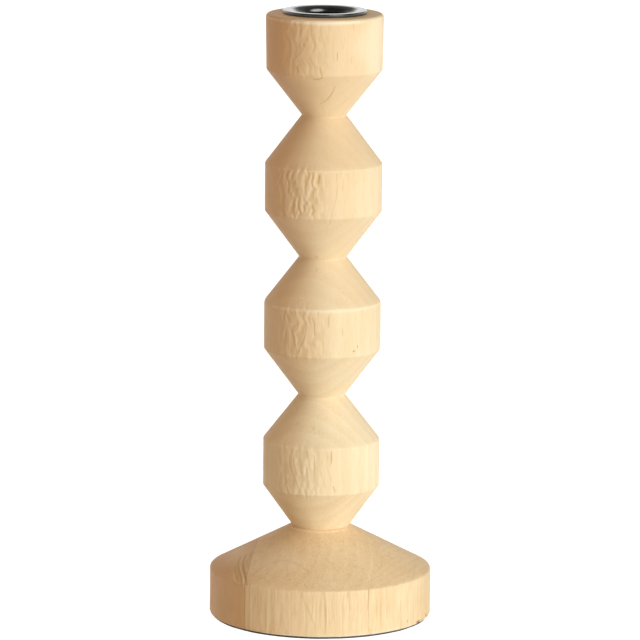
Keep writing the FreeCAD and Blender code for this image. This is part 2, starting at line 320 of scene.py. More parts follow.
# The same as the stem's veins, for the base
BASE_VEINS = (
    (0.62, 0.7, 0.28, ((-71.0, 26.0), (-56.8, 23.2), (-49.8, 21.8), (-45.0, 20.6), (-41.0, 19.1))),
    (0.52, 0.65, 0.26, ((-73.0, 25.0), (-61.0, 22.9), (-53.0, 21.5), (-47.2, 20.3), (-44.0, 18.2))),
    (0.42, 0.6, 0.20, ((-68.0, 24.0), (-63.0, 22.6), (-54.0, 20.9), (-50.5, 20.0))),
    (0.42, 0.5, 0.16, ((-68.5, 27.3), (-66.5, 26.5), (-59.0, 25.6))),
    (0.80, 0.45, 0.06, ((-77.0, 17.9), (-69.0, 18.5))),
    (0.20, 3.4, 0, ((-66.0, 27.0), (-47.0, 20.0), (-46.0, 11.0), (-46.5, 3.0))),
    (0.20, 3.4, 0, ((-60.0, 16.5), (-57.0, 9.0), (-59.0, 4.0))),
    (0.16, 3.0, 0, ((-86.0, 16.0), (-84.0, 9.0), (-80.0, 3.5))),
    (0.24, 20.0, 0, ((78.0, 17.5), (78.0, 3.0))),
    (0.11, 7.0, 0, ((48.0, 21.5), (90.0, 21.5))),
    (0.22, 10.5, 0, ((-88.0, 9.0), (-52.0, 9.0))),
    (1.00, 1.1, 0.30, ((60.5, 1.9), (64.5, 1.2))),
    (1.00, 0.9, 0.25, ((72.5, 2.4), (76.5, 1.6))),
    (0.2, 0.8, 0.05, ((-43.0, 21.8), (-42.8, 24.7), (-36.2, 27.1), (-26.0, 27.4), (-14.3, 26.2),
                      (-5.0, 24.1))),
    (0.25, 0.4, 0.04, ((-38.2, 20.9), (-35.2, 22.0), (-27.8, 20.3))),
    (0.3, 0.35, 0.04, ((-25.0, 25.9), (-20.0, 23.2))),
    (0.4, 0.25, 0.05, ((4.8, 28.5), (12.0, 25.3))),
    (0.45, 0.28, 0.05, ((25.0, 26.2), (31.8, 24.7))),
    (0.12, 0.25, 0.04, ((27.5, 32.1), (36.0, 26.5))),
    (0.3, 0.4, 0.02, ((55.5, 26.8), (42.5, 24.1))),
    (0.3, 0.5, 0.03, ((84.0, 22.9), (72.8, 21.8), (57.2, 19.7))),
    (0.2, 0.4, 0.02, ((56.2, 21.5), (49.0, 19.4))),
    (0.35, 0.4, 0.04, ((-9.8, 18.8), (-7.5, 14.2), (-4.0, 8.3), (-2.8, 5.5))),
    (0.2, 0.4, 0.03, ((-4.2, 19.1), (-3.2, 12.3), (-6.0, 5.5))),
    (0.5, 0.5, 0.04, ((2.5, 16.6), (3.2, 8.3), (2.8, 2.4))),
    (0.35, 0.4, 0.03, ((-25.2, 12.0), (-25.0, 10.5))),
    (0.4, 0.5, 0.03, ((-17.5, 3.4), (-16.8, 1.8))),
    (0.85, 0.4, 0.08, ((51.5, 4.3), (52.0, 3.1))),
    (0.3, 0.7, 0.02, ((25.5, 15.7), (25.2, 11.1))),
    (0.3, 0.4, 0.03, ((15.5, 14.2), (15.5, 10.8))),
    (0.3, 0.4, 0.03, ((-31.3, 15.4), (-32.0, 9.2))),
    (0.2, 0.5, 0.03, ((-20.2, 10.2), (-20.5, 4.9))),
    (0.2, 0.4, 0.03, ((6.0, 14.5), (7.0, 9.8), (5.5, 5.8))),
    (0.25, 0.5, 0.03, ((36.5, 12.6), (36.8, 6.5))),
    (0.25, 0.5, 0.03, ((46.2, 13.2), (45.8, 5.2))),
)


def number_prop(name, description, default, **kind):
    """A property for one number, or for several numbers where the default is a tuple."""
    if isinstance(default, tuple):
        return FloatVectorProperty(name=name, description=description, default=default,
                                   size=len(default), **kind)
    return FloatProperty(name=name, description=description, default=default, **kind)


def length_prop(name, description, default):
    """A property for a length in metres, or for several."""
    return number_prop(name, description, default, unit="LENGTH")


def angle_prop(name, description, degrees):
    """A property for an angle, with its default in degrees."""
    return number_prop(name, description, math.radians(degrees), subtype="ANGLE")


def colour_prop(name, description, default):
    """A property for a colour."""
    return number_prop(name, description, default, subtype="COLOR")


class StemSizes(bpy.types.PropertyGroup):
    """Sizes of the turned spindle. The rest comes from the frame."""
    low_bead: length_prop(
        "Low Bead", "Heights of the lower cone, the band and the upper cone", (0.0165, 0.0187, 0.0179))
    middle_bead: length_prop(
        "Middle Bead", "Heights of the lower cone, the band and the upper cone", (0.0187, 0.0189, 0.0179))
    high_bead: length_prop(
        "High Bead", "Heights of the lower cone, the band and the upper cone", (0.0185, 0.0190, 0.0191))
    head_cone: length_prop("Head Cone", "Height of the cone under the head's band", 0.0181)
    neck_radii: length_prop(
        "Neck Radii", "Radii at the foot, and at the three necks going up",
        (0.0114, 0.00925, 0.0094, 0.00875))
    bead_radius: length_prop("Bead Radius", "Radius of the bands", 0.02315)
    head_foot_radius: length_prop("Head Foot Radius", "Radius of the head at its lower edge", 0.02285)
    rim_round: length_prop("Rim Rounding", "Rounding of the head's upper edge", 0.0014)
    edge_round: length_prop("Edge Rounding", "Rounding of a bead's edges", 0.0010)
    worn_round: length_prop("Worn Rounding", "Rounding of the middle bead's upper edge", 0.0030)
    neck_round: length_prop("Neck Rounding", "Rounding at the bottom of a neck", 0.00025)
    socket_radius: length_prop("Socket Radius", "Radius of the hole for the cup", 0.01225)
    socket_depth: length_prop("Socket Depth", "Depth of the hole for the cup", 0.0201)
    socket_round: length_prop("Socket Edge", "Rounding of the socket's edge", 0.0024)
    tenon_radius: length_prop("Tenon Radius", "Radius of the tenon in the base", 0.0090)
    pilot_radius: length_prop("Pilot Radius", "Radius of the hole for the screw", 0.0023)
    pilot_room: length_prop("Pilot Room", "Empty length past the screw's point", 0.0020)


class BaseSizes(bpy.types.PropertyGroup):
    """Sizes of the glued-up base. The rest comes from the frame."""
    rim_height: length_prop("Rim Height", "Height of the upright rim", 0.0182)
    rim_round: length_prop("Rim Rounding", "Rounding of the rim's upper edge", 0.0010)
    foot_round: length_prop("Foot Rounding", "Rounding of the rim's lower edge", 0.0006)
    core_width: length_prop("Core Width", "Width of the middle board between the glue faces", 0.0492)
    glue_turn: angle_prop("Glue Turn", "Turn of the glue faces about the axis", 8.3)
    glue_line: length_prop("Glue Line", "How far the dark line of glue reaches from a glue face", 0.0004)
    mortise_radius: length_prop("Mortise Radius", "Radius of the hole for the tenon", 0.0091)
    mortise_depth: length_prop("Mortise Depth", "Depth of the hole for the tenon", 0.0170)
    screw_hole_radius: length_prop("Screw Hole", "Radius of the hole for the screw", 0.00255)
    counterbore_radius: length_prop("Counterbore Radius", "Radius of the recess for the washer", 0.0085)
    counterbore_depth: length_prop("Counterbore Depth", "Depth of the recess for the washer", 0.0080)


class MetalSizes(bpy.types.PropertyGroup):
    """Sizes of the cup, the screw and the washer."""
    cup_wall: length_prop("Cup Wall", "Thickness of the drawn sheet", 0.00055)
    flange_height: length_prop("Flange Height", "Height of the flange's turned-down edge", 0.00145)
    cup_radius: length_prop("Cup Radius", "Inner radius of the cup", 0.01145)
    lip_round: length_prop("Lip Rounding", "Rounding from the flange down into the cup", 0.0032)
    floor_round: length_prop("Floor Rounding", "Rounding from the wall to the floor", 0.0012)
    screw_radius: length_prop("Screw Radius", "Radius over the thread's crests", 0.00225)
    thread_pitch: length_prop("Thread Pitch", "Rise of the thread in one turn", 0.0018)
    thread_depth: length_prop("Thread Depth", "Depth of the thread", 0.00062)
    plain_shank: length_prop("Plain Shank", "Length of the shank with no thread", 0.0100)
    screw_tip: length_prop("Screw Tip", "Length of the tapered point", 0.0040)
    head_height: length_prop("Head Height", "Height of the screw's pan head", 0.0028)
    recess_depth: length_prop("Recess Depth", "Depth of the cross recess in the head", 0.0021)
    recess_reach: length_prop("Recess Reach", "From the screw's axis to the end of the recess", 0.0024)
    recess_width: length_prop("Recess Width", "Half width of an arm of the recess", 0.00045)
    washer_hole: length_prop("Washer Hole", "Radius of the washer's hole", 0.0026)


class Finish(bpy.types.PropertyGroup):
    """Colours and finish of the materials."""
    pale_wood: colour_prop("Pale Wood", "Colour of the wood between its growth lines", (0.94, 0.785, 0.52))
    head_wood: colour_prop(
        "Head Wood", "Browner colour that the stem's wood turns to at its head", (0.78, 0.565, 0.34))
    base_wood: colour_prop("Base Wood", "Colour of the base's middle board", (0.91, 0.70, 0.435))
    deep_wood: colour_prop("Deep Wood", "Colour of the wood in its growth lines", (0.76, 0.50, 0.25))
    side_wood: colour_prop("Side Wood", "Deeper colour of the base's side blocks", (0.80, 0.58, 0.35))
    # Tint of the painted warm shade toward the left side, and of the base's redder left block
    left_shade_and_red_tint: colour_prop("Ruddy Tint", "Tint of the redder wood toward the left", (0.92, 0.74, 0.64))
    # Pale colour of the painted highlights and painted light on the wood
    painted_light_colour: colour_prop("Worn Wood", "Pale colour of the sanded edges", (1.0, 0.87, 0.64))
    # Golden colour of the faint veins, and of the painted shade line round the stem's foot
    vein_and_shade: colour_prop("Veins", "Golden colour of the faint veins", (0.60, 0.37, 0.145))
    pore: colour_prop("Pores", "Colour of the open pores and of the darkest veins", (0.34, 0.18, 0.07))
    cup_black: colour_prop("Cup Black", "Colour of the black enamel", (0.012, 0.012, 0.012))
    zinc: colour_prop("Zinc", "Colour of the plated steel", (0.62, 0.62, 0.60))
    felt: colour_prop("Felt", "Colour of the felt", (0.050, 0.052, 0.056))
    film: colour_prop(
        "Backing Film", "Colour of the pale film that the felt is glued on with", (0.86, 0.86, 0.84))
    film_thickness: length_prop("Film Thickness", "Thickness of the felt's pale backing film", 0.00018)
    relief: length_prop("Relief", "Height of the rippled figure on the bands", 0.00014)
    rim_relief: length_prop("Rim Relief", "Height of the upright streaks on the base's rim", 0.00009)
    slope_relief: length_prop("Slope Relief", "Height of the mottling on the base's slope", 0.00003)


class StageSettings(bpy.types.PropertyGroup):
    """The camera, the lamps and the floor."""
    camera_distance: length_prop("Camera Distance", "From the camera to the middle of the wood", 1.9123)
    camera_elevation: angle_prop("Camera Elevation", "Angle of the view below the horizon", 10.55)
    camera_roll: angle_prop("Camera Roll", "Turn of the picture about the line of sight", 0.497)
    lens: number_prop("Lens", "Focal length for a sensor 36 mm wide", 271.07)
    shift: number_prop(
        "Shift", "Sideways and upward shift of the picture, in picture widths", (-0.0037, -0.0078))
    key_turn: angle_prop("Key Turn", "Turn of the key lamp from the camera's side to the right", 45)
    key_elevation: angle_prop("Key Elevation", "Elevation of the key lamp", 4)
    key_size: length_prop("Key Size", "Width and height of the key lamp", (1.15, 0.42))
    key_distance: length_prop("Key Distance", "From the key lamp to the stand", 1.5)
    key_light: number_prop("Key Light", "Light of the key lamp on white that faces it", 1.045)
    key_colour: colour_prop("Key Colour", "Colour of the key lamp, slightly cool", (0.81, 0.91, 1.0))
    floor_reach: length_prop("Floor Reach", "From the stand to the floor's edge", 4.0)
    floor_colour: colour_prop("Floor Colour", "Pale colour of the floor", (0.74, 0.72, 0.67))
    floor_glow: number_prop("Floor Glow", "White that the camera sees on the floor besides the light", 0.88)
    fill_light: number_prop("Fill Light", "Strength of the soft light from all round", 0.201)
    fill_colour: colour_prop("Fill Colour", "Colour of the soft light from below, warm", (1.0, 0.69, 0.38))
    sky_colour: colour_prop("Sky Colour", "Colour of the soft light from above", (1.0, 0.90, 0.76))
    fill_side: number_prop(
        "Fill Side", "Direction that the soft light is strongest from", (-0.62, -0.12, 1.08),
        subtype="DIRECTION")
    fill_lean: number_prop("Fill Lean", "Share by which the soft light is stronger on that side", 1.9)
    window_side: number_prop(
        "Window Side", "Direction of the soft window that gloss shows", (0.49, -0.73, 0.47),
        subtype="DIRECTION")
    window_light: number_prop("Window Light", "White that gloss shows of the window", 6.0)
    camera_side_light: number_prop(
        "Camera Side", "White that gloss shows behind the camera, where 1 is the wall's", 0.25)
    ceiling_light: number_prop(
        "Ceiling", "White that gloss shows of the room high above, where 1 is the wall's", 0.25)


def sizes(group):
    """One of the scene's groups of settings."""
    return getattr(bpy.context.scene, "candle_stand_" + group)


def straight(start, end, step):
    """Points from start up to, but without, end: start + share * (end - start)."""
    count = max(1, math.ceil(np.linalg.norm(end - start) / step))
    share = np.arange(count)[:, None] / count
    return start + share * (end - start)


def arc(centre, start, end, step):
    """Points on the short arc from start up to, but without, end: centre + radius * (cos, sin)."""
    spoke = start - centre
    radius = np.linalg.norm(spoke)
    first = math.atan2(spoke[1], spoke[0])
    last = math.atan2(end[1] - centre[1], end[0] - centre[0])
    swing = (last - first + math.pi) % FULL_TURN - math.pi
    count = max(ARC_LEAST, math.ceil(abs(swing) * radius / step))
    angle = first + swing * np.arange(count) / count
    return centre + radius * np.stack([np.cos(angle), np.sin(angle)], axis=1)


def rounded_outline(corners, step):
    """Half outline with rounded corners, as an array of radius and height.

    Each corner is (radius, height, rounding). Where two sides meet at an angle of 2a, the arc touches
    each side at rounding / tan(a) from the corner, and its centre lies on the bisector. The step is
    one length, or one for each side.
    """
    corners = np.array(corners, dtype=float)
    steps = np.broadcast_to(step, len(corners) - 1)
    stretches = []
    start = corners[0, :2]
    for before, here, after, side_step in zip(corners, corners[1:], corners[2:], steps):
        at = here[:2]
        back = before[:2] - at
        ahead = after[:2] - at
        shorter = min(np.linalg.norm(back), np.linalg.norm(ahead))
        back /= np.linalg.norm(back)
        ahead /= np.linalg.norm(ahead)
        half = math.acos(np.clip(back @ ahead, -1, 1)) / 2
        reach = min(here[2] / math.tan(half), shorter * SIDE_SHARE)
        inward = (back + ahead) / np.linalg.norm(back + ahead)
        centre = at + inward * (reach / math.cos(half))
        stretches.append(straight(start, at + back * reach, side_step))
        stretches.append(arc(centre, at + back * reach, at + ahead * reach, steps.min() * ARC_SHARE))
        start = at + ahead * reach
    stretches.append(straight(start, corners[-1, :2], steps[-1]))
    stretches.append(corners[-1:, :2])
    return np.concatenate(stretches)


def turned(radius, height, turn):
    """Points at (radius sin turn, -radius cos turn, height). A turn of 0 faces -Y, and +X is a quarter on."""
    radius, height, turn = np.broadcast_arrays(radius, height, turn)
    return np.stack([radius * np.sin(turn), -radius * np.cos(turn), height], axis=-1)


def grid_mesh(name, points, wrap_rows=False, wrap_columns=True, low_pole=None, high_pole=None, fields=None):
    """Piece made of a grid of points, each joined to its neighbours, wound so that it faces outwards.

    A pole is one more point that closes the first or last row, given as its height on the axis. Where
    only the rows wrap, one face closes the first column and one the last. Fields are values at the
    points, kept as attributes.
    """
    rows, columns = points.shape[:2]
    index = np.arange(rows * columns).reshape(rows, columns)
    low = index if wrap_rows else index[:-1]
    high = np.roll(index, -1, axis=0) if wrap_rows else index[1:]
    if wrap_columns:
        ring = [low, np.roll(low, -1, axis=1), np.roll(high, -1, axis=1), high]
    else:
        ring = [low[:, :-1], low[:, 1:], high[:, 1:], high[:, :-1]]
    faces = np.stack(ring, axis=-1).reshape(-1, 4).tolist()
    if wrap_rows and not wrap_columns:
        faces += [index[::-1, 0].tolist(), index[:, -1].tolist()]
    vertices = points.reshape(-1, 3)
    following = np.roll(index, -1, axis=1)
    for pole, edge in ((low_pole, (following[0], index[0])), (high_pole, (index[-1], following[-1]))):
        if pole is not None:
            tip = np.full(columns, len(vertices))
            vertices = np.concatenate([vertices, [[0, 0, pole]]])
            faces += np.stack([tip, *edge], axis=1).tolist()
    mesh = bpy.data.meshes.new(name)
    mesh.from_pydata(vertices, [], faces)
    for field, values in (fields or {}).items():
        at_points = np.zeros(len(vertices))
        at_points[:rows * columns] = np.broadcast_to(values, (rows, columns)).ravel()
        mesh.attributes.new(field, "FLOAT", "POINT").data.foreach_set("value", at_points)
    mesh.shade_smooth()
    mesh.set_sharp_from_angle(angle=SHARP_ANGLE)
    piece = bpy.data.objects.new(name, mesh)
    bpy.context.scene.collection.objects.link(piece)
    return piece


def eased(share):
    """The share t eased in and out: 3t^2 - 2t^3."""
    return share * share * (3 - 2 * share)


def smooth_step(value, low, high):
    """0 below low, 1 above high, and eased between."""
    return eased(np.clip((value - low) / (high - low), 0, 1))


def lattice_noise(around, along, cells, seed):
    """Smooth noise from -1 to 1, for places given in cells, that joins up after the cells all round.

    Random values stand on a lattice. Between them the noise is their blend by the eased shares of the
    way from one to the next, both ways.
    """
    around, along = np.broadcast_arrays(around, along)
    column = np.floor(around).astype(int)
    row = np.floor(along).astype(int)
    values = np.random.default_rng(seed).uniform(-1, 1, (row.max() - row.min() + 2, cells))
    row_share = eased(along - row)
    column_share = eased(around - column)
    row = row - row.min()
    left = column % cells
    right = (column + 1) % cells
    low = values[row, left] * (1 - column_share) + values[row, right] * column_share
    high = values[row + 1, left] * (1 - column_share) + values[row + 1, right] * column_share
    return low * (1 - row_share) + high * row_share


def ring_noise(turn, along, cells, seed):
    """Lattice noise with that many cells all round the axis."""
    return lattice_noise(turn / FULL_TURN * cells, along, cells, seed)


def turn_columns(stretches):
    """Turns of a grid's columns, in radians, from stretches of degrees with a number of columns each."""
    turns = [np.linspace(start, end, count, endpoint=False) for start, end, count in stretches]
    return np.radians(np.concatenate(turns))


def even_turns(columns):
    """Turns of that many columns all round."""
    return np.linspace(0, FULL_TURN, columns, endpoint=False)


def eased_line(line):
    """The line with its inner corners cut off, each time at a quarter and three quarters of each stretch."""
    line = np.array(line, dtype=float)
    for _ in range(LINE_EASINGS):
        start, end = line[:-1], line[1:]
        cut = np.stack([start * 0.75 + end * 0.25, start * 0.25 + end * 0.75], axis=1).reshape(-1, 2)
        line = np.concatenate([line[:1], cut[1:-1], line[-1:]])
    return line


def drawn_lines(veins, turn, radius, height, outline):
    """Darkness and depth of drawn lines at each point of a turned surface, whose outline rises.

    The surface is laid out flat: radius times turn one way, and the length along the outline the
    other. The distance to a stretch from a to b is |p - a - t(b - a)|, with t the share of the way to b,
    kept from 0 to 1. The values fall from the line's own to nothing at its half width by (1 - d^2)^2,
    and the half width narrows towards the line's ends by the sine of pi times the way along it.
    """
    step = np.hypot(*np.diff(outline, axis=0).T)
    length = np.concatenate([[0], np.cumsum(step)])
    turn = (turn + math.pi) % FULL_TURN - math.pi
    turn, radius, along = np.broadcast_arrays(turn, radius, np.interp(height, outline[:, 1], length))
    darkness = np.zeros(turn.shape)
    depth = darkness.copy()
    for dark, half_width, cut, line in veins:
        half_width = half_width * MM
        places = eased_line(line)
        stretches = len(places) - 1
        at_turn = np.radians(places[:, 0])
        at_along = np.interp(places[:, 1] * MM, outline[:, 1], length)
        rows = (along > at_along.min() - half_width) & (along < at_along.max() + half_width)
        rows = rows.any(axis=1)
        out, up, round_by = radius[rows], along[rows], turn[rows]
        distance = np.full(out.shape, np.inf)
        for a in range(stretches):
            to_x, to_y = out * (at_turn[a + 1] - at_turn[a]), at_along[a + 1] - at_along[a]
            x, y = out * (round_by - at_turn[a]), up - at_along[a]
            share = np.clip((x * to_x + y * to_y) / (to_x ** 2 + to_y ** 2), 0, 1)
            width = half_width * (LINE_END + (1 - LINE_END) * np.sin(math.pi * (a + share) / stretches))
            distance = np.minimum(distance, np.hypot(x - share * to_x, y - share * to_y) / width)
        near = np.clip(1 - distance ** 2, 0, 1) ** 2
        darkness[rows] = np.maximum(darkness[rows], dark * near)
        depth[rows] = np.maximum(depth[rows], cut * MM * near)
    return darkness, depth


def add_node(tree, kind, inputs=None, **settings):
    """A new node. Inputs are values, or sockets to link from; settings are the node's own."""
    made = tree.nodes.new(kind)
    for key, value in settings.items():
        setattr(made, key, value)
    for key, value in (inputs or {}).items():
        if isinstance(value, bpy.types.NodeSocket):
            tree.links.new(value, made.inputs[key])
        else:
            made.inputs[key].default_value = value
    return made


def math_node(tree, operation, first, second=0.0, clamp=False):
    """Result socket of a Math node."""
    return add_node(tree, "ShaderNodeMath", {0: first, 1: second}, operation=operation,
                    use_clamp=clamp).outputs[0]


def times(tree, first, second, clamp=False):
    """Result socket of one number times another."""
    return math_node(tree, "MULTIPLY", first, second, clamp)


def plus(tree, first, second):
    """Result socket of one number plus another."""
    return math_node(tree, "ADD", first, second)


def vector_node(tree, operation, first, second):
    """Result socket of a Vector Math node."""
    made = add_node(tree, "ShaderNodeVectorMath", {0: first, 1: second}, operation=operation)
    return made.outputs["Value" if operation in ("LENGTH", "DOT_PRODUCT") else "Vector"]


def opaque(colour):
    """A colour with its alpha."""
    return (*colour, 1.0)


def shaded(colour, share):
    """A colour times a share."""
    return [part * share for part in colour]


def mix_colours(tree, factor, first, second):
    """Result socket of a colour mix. The colours are sockets, or red, green and blue."""
    first, second = (
        colour if isinstance(colour, bpy.types.NodeSocket) else opaque(colour) for colour in (first, second))
    return add_node(tree, "ShaderNodeMix", {0: factor, 6: first, 7: second}, data_type="RGBA").outputs[2]


def spread(tree, value, low, high, start=0.0, end=1.0):
    """Result socket of a Map Range from low..high to start..end."""
    return add_node(tree, "ShaderNodeMapRange", {
        "Value": value, "From Min": low, "From Max": high, "To Min": start, "To Max": end}).outputs[0]


def noise(tree, place, scale, detail=2.0, roughness=0.5):
    """Factor socket of a noise. The scale is its cells in a metre along X, Y and Z, or None for 1 each."""
    if scale is not None:
        place = vector_node(tree, "MULTIPLY", place, scale)
    return add_node(tree, "ShaderNodeTexNoise", {
        "Vector": place, "Scale": 1.0, "Detail": detail, "Roughness": roughness}).outputs[0]


def axes(tree, vector):
    """Sockets X, Y and Z of a vector."""
    return add_node(tree, "ShaderNodeSeparateXYZ", {0: vector}).outputs


def object_place(tree):
    """Socket of the Object coordinates."""
    return add_node(tree, "ShaderNodeTexCoord").outputs["Object"]


def bare_material(name):
    """A new material and its empty node tree."""
    material = bpy.data.materials.new(name)
    material.use_nodes = True
    material.node_tree.nodes.clear()
    return material, material.node_tree


def add_shader(tree, colour, roughness, height, bump, **inputs):
    """Ends a material with a principled shader. The height gives its bump, of that strength and depth.

    The shader's further inputs are named with _ for a space.
    """
    strength, depth = bump
    bumps = add_node(tree, "ShaderNodeBump", {"Height": height, "Strength": strength, "Distance": depth})
    inputs = {key.replace("_", " "): value for key, value in inputs.items()}
    shader = add_node(tree, "ShaderNodeBsdfPrincipled", {
        "Base Color": colour, "Roughness": roughness, "Normal": bumps.outputs[0], **inputs})
    add_node(tree, "ShaderNodeOutputMaterial", {"Surface": shader.outputs[0]})


def shared_group(name, inputs, build):
    """The node group of that name, built when it is first asked for.

    Each input is a number, or None for a vector. Build takes the tree and the input sockets, and gives
    the sockets of the named results.
    """
    if name in bpy.data.node_groups:
        return bpy.data.node_groups[name]
    tree = bpy.data.node_groups.new(name, "ShaderNodeTree")
    for title, default in inputs.items():
        kind = "NodeSocketVector" if default is None else "NodeSocketFloat"
        socket = tree.interface.new_socket(name=title, in_out="INPUT", socket_type=kind)
        if default is not None:
            socket.default_value = default
    results = build(tree, add_node(tree, "NodeGroupInput").outputs)
    for title in results:
        tree.interface.new_socket(name=title, in_out="OUTPUT", socket_type="NodeSocketFloat")
    add_node(tree, "NodeGroupOutput", results)
    return tree


def timber_grain(tree, source):
    """Nodes for the grain of solid timber whose fibres run along Z.

    Rings is the share of the way through a growth ring about the pith, Fibres a fine streak along
    the grain, Pores the open vessels, and Drift the slow change of tone from place to place.
    """
    place = source["Place"]
    bend = math_node(tree, "SUBTRACT", noise(tree, place, BEND_SCALE), NOISE_MEAN)
    bend = times(tree, bend, source["Waviness"])
    flat = vector_node(tree, "MULTIPLY", vector_node(tree, "SUBTRACT", place, source["Pith"]), (1, 1, 0))
    distance = plus(tree, vector_node(tree, "LENGTH", flat, (0, 0, 0)), bend)
    ring = math_node(tree, "FRACT", math_node(tree, "DIVIDE", distance, source["Ring Spacing"]))

    across = math_node(tree, "DIVIDE", 1.0, source["Fibre Width"])
    along = math_node(tree, "DIVIDE", 1.0, source["Fibre Length"])
    scale = add_node(tree, "ShaderNodeCombineXYZ", {"X": across, "Y": across, "Z": along}).outputs[0]
    streaks = vector_node(tree, "MULTIPLY", place, scale)
    vessels = vector_node(tree, "ADD", vector_node(tree, "MULTIPLY", streaks, VESSEL_SCALE), VESSEL_PLACE)
    return {
        "Rings": math_node(tree, "PINGPONG", times(tree, ring, LATE_WOOD), 1.0),
        "Fibres": spread(tree, noise(tree, streaks, None, detail=3.0, roughness=0.6), *NOISE_MIDDLE),
        "Pores": spread(tree, noise(tree, vessels, None, detail=1.0), *VESSEL_EDGE),
        "Drift": spread(tree, noise(tree, place, DRIFT_SCALE), *NOISE_MIDDLE),
    }


def glue_line(tree, source):
    """Nodes for the thin line of glue between the base's blocks: 1 at a glue face, 0 from Width away."""
    across = math_node(tree, "ABSOLUTE", vector_node(tree, "DOT_PRODUCT", source["Place"], source["Across"]))
    gap = math_node(tree, "ABSOLUTE", math_node(tree, "SUBTRACT", across, source["Half Core"]))
    share = math_node(tree, "DIVIDE", gap, source["Width"])
    return {"Line": math_node(tree, "SUBTRACT", 1.0, share, clamp=True)}


def wood_material(name, foot_colour, head_colour, pith, ring_spacing, shift, streaks, left_shade_and_red_wood, glue=0.0):
    """Turned pale hardwood, cut from one plank: its own growth rings, fibres, pores and drawn veins.

    The colour turns from the foot's to the head's with the height. Shift is where in the timber the
    piece lies, streaks how strongly the fibres show, the share for the left side how far a painted warm
    shade darkens and reddens the wood towards its left side at the foot and at the head, which on the
    base's left block also gives that block's redder wood, and glue how dark the line is where the base's
    blocks meet. The pale field adds painted highlights and painted light, and the vein field also
    carries a line of painted shade.
    """
    look = sizes("finish")
    base = sizes("base")
    material, tree = bare_material(name)
    place = object_place(tree)
    part = axes(tree, place)
    in_timber = add_node(tree, "ShaderNodeMapping", {"Vector": place, "Location": shift}).outputs[0]
    grain_inputs = {"Place": None, "Pith": None, "Ring Spacing": 0.004, "Waviness": 0.003,
                    "Fibre Width": 0.0008, "Fibre Length": 0.008}
    grain = add_node(
        tree, "ShaderNodeGroup", {"Place": in_timber, "Pith": pith, "Ring Spacing": ring_spacing},
        node_tree=shared_group("Timber Grain", grain_inputs, timber_grain)).outputs
    vein_and_shade = add_node(tree, "ShaderNodeAttribute", attribute_name="vein_and_shade").outputs["Fac"]
    painted_light = add_node(tree, "ShaderNodeAttribute", attribute_name="painted_light").outputs["Fac"]

    tone = plus(tree, times(tree, grain["Rings"], RING_TONE), times(tree, grain["Fibres"], streaks))
    tone = plus(tree, tone, times(tree, grain["Drift"], DRIFT_TONE))
    rise = spread(tree, part["Z"], *HEAD_TONE)
    colour = mix_colours(tree, rise, foot_colour, head_colour)
    colour = mix_colours(tree, tone, colour, look.deep_wood)
    # Painted warm shade toward the left side; on the base's left block also its redder wood
    left_shade_and_red = times(tree, spread(tree, part["X"], *LEFT_SHADE_AND_RED_X), spread(tree, rise, 0.0, 1.0, *left_shade_and_red_wood))
    colour = mix_colours(tree, left_shade_and_red, colour, vector_node(tree, "MULTIPLY", colour, look.left_shade_and_red_tint))
    # Painted highlights and painted light, mixed in from their field
    colour = mix_colours(tree, painted_light, colour, look.painted_light_colour)
    colour = mix_colours(tree, times(tree, grain["Pores"], PORE_TONE), colour, look.pore)
    if glue:
        line_inputs = {"Place": None, "Across": None, "Half Core": base.core_width / 2,
                       "Width": base.glue_line}
        across = (math.cos(base.glue_turn), -math.sin(base.glue_turn), 0)
        line = add_node(tree, "ShaderNodeGroup", {"Place": place, "Across": across},
                        node_tree=shared_group("Glue Line", line_inputs, glue_line)).outputs["Line"]
        vein_and_shade = math_node(tree, "MAXIMUM", vein_and_shade, times(tree, line, glue))
    colour = mix_colours(tree, times(tree, vein_and_shade, VEIN_GAIN, clamp=True), colour, look.vein_and_shade)
    colour = mix_colours(tree, spread(tree, vein_and_shade, *DARK_VEIN), colour, look.pore)

    least, added = WOOD_ROUGHNESS
    height = math_node(tree, "SUBTRACT", times(tree, grain["Fibres"], FIBRE_HEIGHT), grain["Pores"])
    add_shader(tree, colour, plus(tree, least, times(tree, grain["Fibres"], added)), height, WOOD_BUMP,
               Specular_IOR_Level=WOOD_GLOSS)
    return material


def zinc_material():
    """Zinc-plated steel: bright metal with a faint mottled crystal pattern and fine scratches."""
    zinc = sizes("finish").zinc
    material, tree = bare_material("Plated Steel")
    place = object_place(tree)
    crystal = spread(tree, noise(tree, place, CRYSTAL_SCALE), *CRYSTAL_EDGE)
    scratch = noise(tree, place, SCRATCH_SCALE)
    least, added = ZINC_ROUGHNESS
    colour = mix_colours(tree, crystal, shaded(zinc, CRYSTAL_SHADE), zinc)
    add_shader(tree, colour, plus(tree, least, times(tree, scratch, added)), scratch, ZINC_BUMP, Metallic=1.0)
    return material


def enamel_material():
    """Glossy black enamel, faintly clouded, with the shallow waves of a coat that ran before it set."""
    black = sizes("finish").cup_black
    material, tree = bare_material("Black Enamel")
    place = object_place(tree)
    cloud = noise(tree, place, CLOUD_SCALE, detail=3.0)
    peel = noise(tree, place, PEEL_SCALE, detail=1.0)
    least, added = ENAMEL_ROUGHNESS
    colour = mix_colours(tree, spread(tree, cloud, *CLOUD_EDGE), black, shaded(black, CLOUD_SHADE))
    add_shader(tree, colour, plus(tree, least, times(tree, cloud, added)), peel, ENAMEL_BUMP,
               Coat_Weight=1.0, Coat_Roughness=COAT_ROUGHNESS)
    return material


